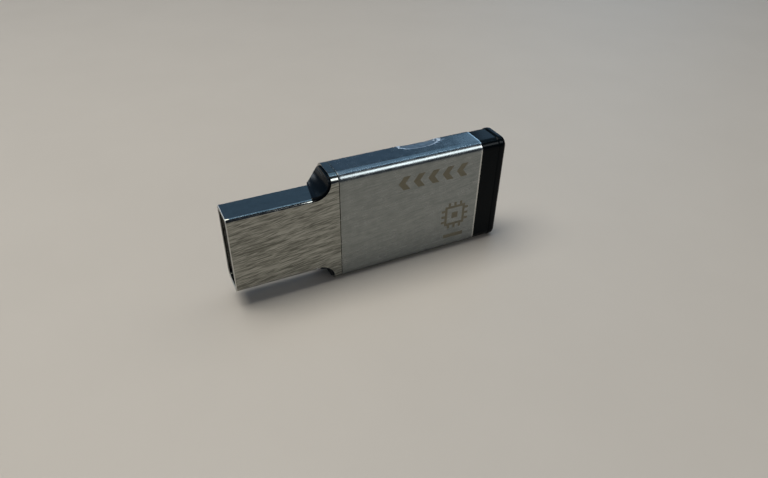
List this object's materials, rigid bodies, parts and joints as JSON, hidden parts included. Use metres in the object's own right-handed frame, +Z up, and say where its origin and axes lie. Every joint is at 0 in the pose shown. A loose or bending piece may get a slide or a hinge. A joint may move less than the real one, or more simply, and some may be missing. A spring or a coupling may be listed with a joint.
{
  "type": "usb flash drive",
  "caption": "Capless metal USB-A flash drive: polished plug with scooped shoulders, satin sleeve, black plastic frame and end cap, circuit board inside.",
  "frame": {"origin": "middle of the drive's footprint, on the surface that it stands on with its long narrow side down", "axes": "+X from the plug's mouth to the end cap, +Y from the front face to the back face, +Z up across the drive's width"},
  "size_m": [0.0428, 0.0054, 0.0177],
  "materials": {
    "polished_steel": "mirror-polished stainless sheet with fine wiping scratches",
    "satin_steel": "satin stainless sheet with fine scratches, edges rubbed bright",
    "frame_plastic": "moulded black plastic, semi-gloss",
    "cap_plastic": "moulded black plastic, high gloss",
    "tongue_plastic": "dark moulded insulator",
    "contact_gold": "gold-plated copper alloy, satin",
    "board": "glass-epoxy board under green solder mask",
    "chip_package": "moulded epoxy package with tinned leads",
    "tinned_metal": "tinned metal can",
    "ceramic": "fired ceramic with tinned ends",
    "led_lens": "clear moulded lens",
    "foam": "white adhesive foam",
    "film": "amber insulating film"
  },
  "bodies": {
    "root": {"plug_shell": "polished_steel", "body_sleeve": "satin_steel", "inner_frame": "frame_plastic", "end_cap": "cap_plastic", "contact_tongue": "tongue_plastic", "contact_vbus": "contact_gold", "contact_data_minus": "contact_gold", "contact_data_plus": "contact_gold", "contact_ground": "contact_gold", "circuit_board": "board", "controller_chip": "chip_package", "flash_memory_chip": "chip_package", "voltage_regulator": "chip_package", "crystal": "tinned_metal", "indicator_led": "led_lens", "capacitor_1": "ceramic", "capacitor_2": "ceramic", "capacitor_3": "ceramic", "capacitor_4": "ceramic", "capacitor_5": "ceramic", "capacitor_6": "ceramic", "resistor_1": "chip_package", "resistor_2": "chip_package", "resistor_3": "chip_package", "resistor_4": "chip_package", "adhesive_pad": "foam", "insulating_film": "film"}
  },
  "joints": []
}
